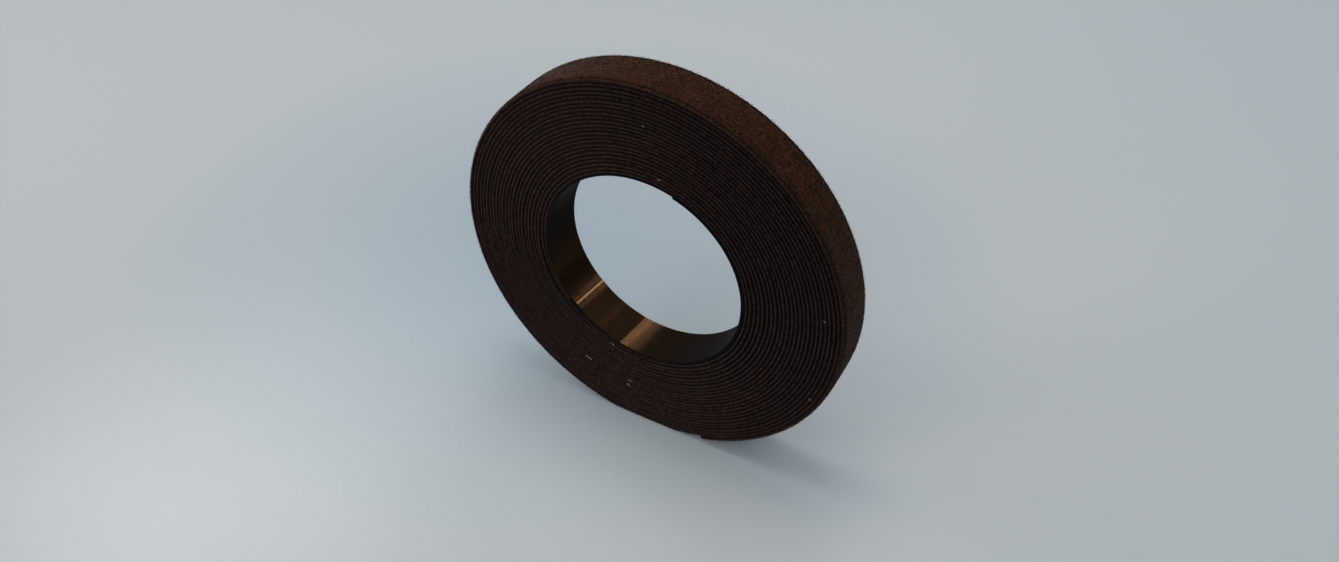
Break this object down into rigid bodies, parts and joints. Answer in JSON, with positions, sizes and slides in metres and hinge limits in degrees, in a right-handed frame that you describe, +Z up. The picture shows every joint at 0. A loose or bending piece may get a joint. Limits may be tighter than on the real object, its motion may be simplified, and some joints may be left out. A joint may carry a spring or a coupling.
{
  "type": "hook and loop tape roll",
  "caption": "Flat roll of back-to-back hook and loop tape wound on a coiled plastic core strip, with a free end that peels away to be cut and wrapped round things.",
  "frame": {"origin": "on the face that the roll stands on, under the roll's axis and midway across the tape", "axes": "+Z up, Y along the roll's axis with the face that shows most towards -Y, +X to the right of that face"},
  "size_m": [0.1712, 0.02, 0.1687],
  "materials": {
    "core_plastic": "smooth, glossy brown-black plastic",
    "hook_film": "brown-black film with fine moulded hooks",
    "loop_pile": "dark brown-black looped pile, matt and slightly fuzzy"
  },
  "bodies": {
    "roll": {"core_strip": "core_plastic", "hook_ply": "hook_film", "loop_ply": "loop_pile"},
    "free_end": {"hook_free_end": "hook_film", "loop_free_end": "loop_pile"}
  },
  "joints": [
    {"name": "peel", "type": "hinge", "parent": "roll", "child": "free_end", "pos_m": [0.08605, 0, 0.08393], "axis": [0, -1, 0], "range_deg": [0, 80]}
  ]
}
